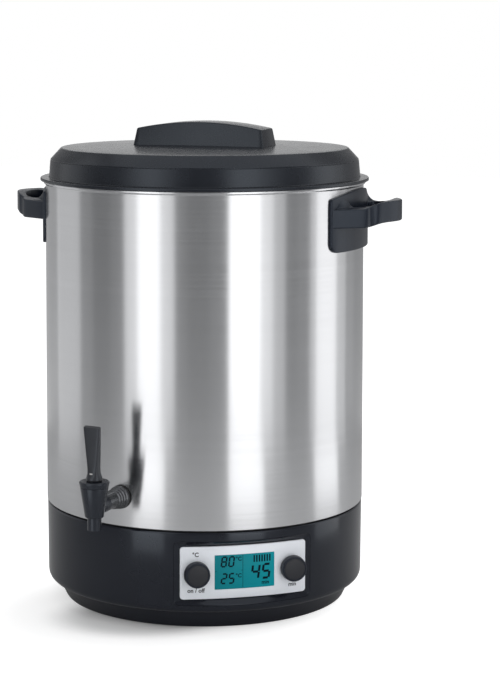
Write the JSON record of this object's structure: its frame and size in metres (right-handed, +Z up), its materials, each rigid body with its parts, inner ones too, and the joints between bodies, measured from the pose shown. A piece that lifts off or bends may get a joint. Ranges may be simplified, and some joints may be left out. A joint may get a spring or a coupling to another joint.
{
  "type": "electric preserving cooker",
  "caption": "Upright stainless vessel with a lift-off lid, side handles and drain tap on an electric base with a display between two push-and-turn knobs.",
  "frame": {"origin": "on the vessel's axis at the height of the table", "axes": "+Z up, the side handles along X, the front with the tap and panel towards -Y"},
  "size_m": [0.43, 0.4006, 0.5025],
  "materials": {
    "brushed_steel": "fine horizontal brushing",
    "gloss_black": "gloss moulded",
    "base_floor": "moulded",
    "lid_black": "satin moulded",
    "handle_black": "satin moulded",
    "tap_black": "semi-gloss moulded",
    "silver_fascia": "satin silver paint",
    "knob_black": "satin moulded",
    "lcd_glass": "clear window",
    "lcd_body": "backlit liquid crystal",
    "rubber": "moulded",
    "zinc_steel": "bright zinc",
    "aluminium": "cast and faced",
    "circuit_board": "solder resist",
    "electric_parts": "moulded"
  },
  "bodies": {
    "root": {"base_housing": "gloss_black", "base_plate": "base_floor", "base_screws": "zinc_steel", "centre_stud": "zinc_steel", "control_board": "circuit_board", "cord_gland": "electric_parts", "gland_nut": "electric_parts", "handle_screws": "zinc_steel", "heat_plate": "aluminium", "heat_shield": "zinc_steel", "heating_element": "zinc_steel", "lcd_module": "lcd_body", "lcd_window": "lcd_glass", "left_handle": "handle_black", "panel_bezel": "gloss_black", "panel_fascia": "silver_fascia", "power_board": "circuit_board", "relay": "electric_parts", "right_handle": "handle_black", "rubber_feet": "rubber", "seam_gasket": "rubber", "stud_nuts": "zinc_steel", "stud_sleeve": "zinc_steel", "tap_body": "tap_black", "tap_bonnet": "tap_black", "tap_inner_gasket": "rubber", "tap_locknut": "tap_black", "tap_outer_gasket": "rubber", "tap_shank": "tap_black", "tap_spring": "zinc_steel", "temperature_encoder": "electric_parts", "temperature_sensor": "zinc_steel", "terminal_block": "electric_parts", "thermal_cutout": "zinc_steel", "timer_encoder": "electric_parts", "transformer": "electric_parts", "vessel_bottom": "brushed_steel", "vessel_wall": "brushed_steel"},
    "lid": {"lid_shell": "lid_black", "lid_handle": "lid_black", "lid_handle_screws": "zinc_steel"},
    "rack": {"insert_rack": "brushed_steel"},
    "lever": {"tap_lever": "tap_black", "lever_pin": "zinc_steel"},
    "stem": {"valve_stem": "zinc_steel", "seat_cup": "rubber"},
    "temperature_push": {"temperature_plunger": "electric_parts"},
    "temperature_turn": {"temperature_shaft": "zinc_steel", "temperature_knob": "knob_black"},
    "timer_push": {"timer_plunger": "electric_parts"},
    "timer_turn": {"timer_shaft": "zinc_steel", "timer_knob": "knob_black"}
  },
  "joints": [
    {"name": "lid_lift", "type": "slide", "parent": "root", "child": "lid", "axis": [0, 0, 1], "range_m": [0, 0.12]},
    {"name": "rack_lift", "type": "slide", "parent": "root", "child": "rack", "axis": [0, 0, 1], "range_m": [0, 0.25]},
    {"name": "tap_pull", "type": "hinge", "parent": "root", "child": "lever", "pos_m": [-0.04255, -0.2189, 0.1596], "axis": [0.9816, -0.1908, 0], "range_deg": [0, 30], "stiffness_Nm_per_rad": 0.3, "springref_deg": -5.73},
    {"name": "stem_lift", "type": "slide", "parent": "root", "child": "stem", "axis": [0, 0, 1], "range_m": [0, 0.003], "deforming": ["tap_spring"]},
    {"name": "temperature_press", "type": "slide", "parent": "root", "child": "temperature_push", "axis": [-0.5519, 0.8339, 0], "range_m": [0, 0.0006], "stiffness_N_per_m": 1500},
    {"name": "temperature_dial", "type": "hinge", "parent": "temperature_push", "child": "temperature_turn", "pos_m": [0.04662, -0.16102, 0.0605], "axis": [0.5519, -0.8339, 0], "continuous": true},
    {"name": "timer_press", "type": "slide", "parent": "root", "child": "timer_push", "axis": [-0.5519, 0.8339, 0], "range_m": [0, 0.0006], "stiffness_N_per_m": 1500},
    {"name": "timer_dial", "type": "hinge", "parent": "timer_push", "child": "timer_turn", "pos_m": [0.13, -0.10583, 0.0605], "axis": [0.5519, -0.8339, 0], "continuous": true}
  ],
  "couplings": [
    {"joint": "stem_lift", "follows": "tap_pull", "m_per_rad": 0.00564}
  ]
}
